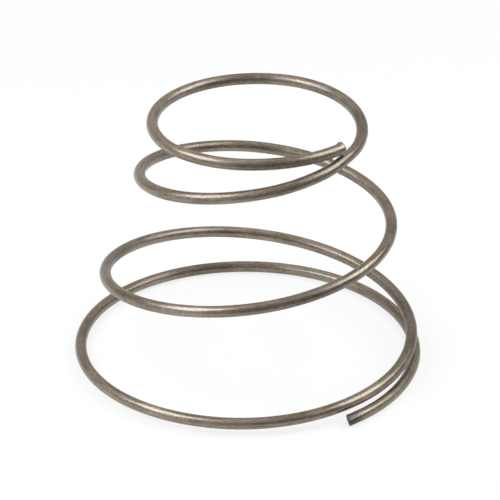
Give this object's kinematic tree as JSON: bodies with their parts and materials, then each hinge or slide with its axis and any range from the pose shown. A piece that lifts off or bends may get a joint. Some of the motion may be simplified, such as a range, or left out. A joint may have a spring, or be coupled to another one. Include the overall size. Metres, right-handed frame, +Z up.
{
  "type": "kickstart spring",
  "caption": "Conical compression spring of round steel wire with flat, unground end turns, pressed between a casing boss and a kickstart pinion.",
  "frame": {"origin": "on the seat turn's axis, in the plane that the seat turn rests on", "axes": "+Z up the coil's axis from the wide seat turn to the narrow nose turn; -Y is the front, and the seat's cropped tip lies at the front right, 56.5 degrees clockwise of +X seen from the nose"},
  "size_m": [0.0488, 0.0486, 0.0362],
  "materials": {
    "spring_steel": "bare drawn spring wire, satin, slightly browned, with fine lengthwise drawing lines"
  },
  "bodies": {
    "root": {"spring_wire": "spring_steel"}
  },
  "joints": []
}
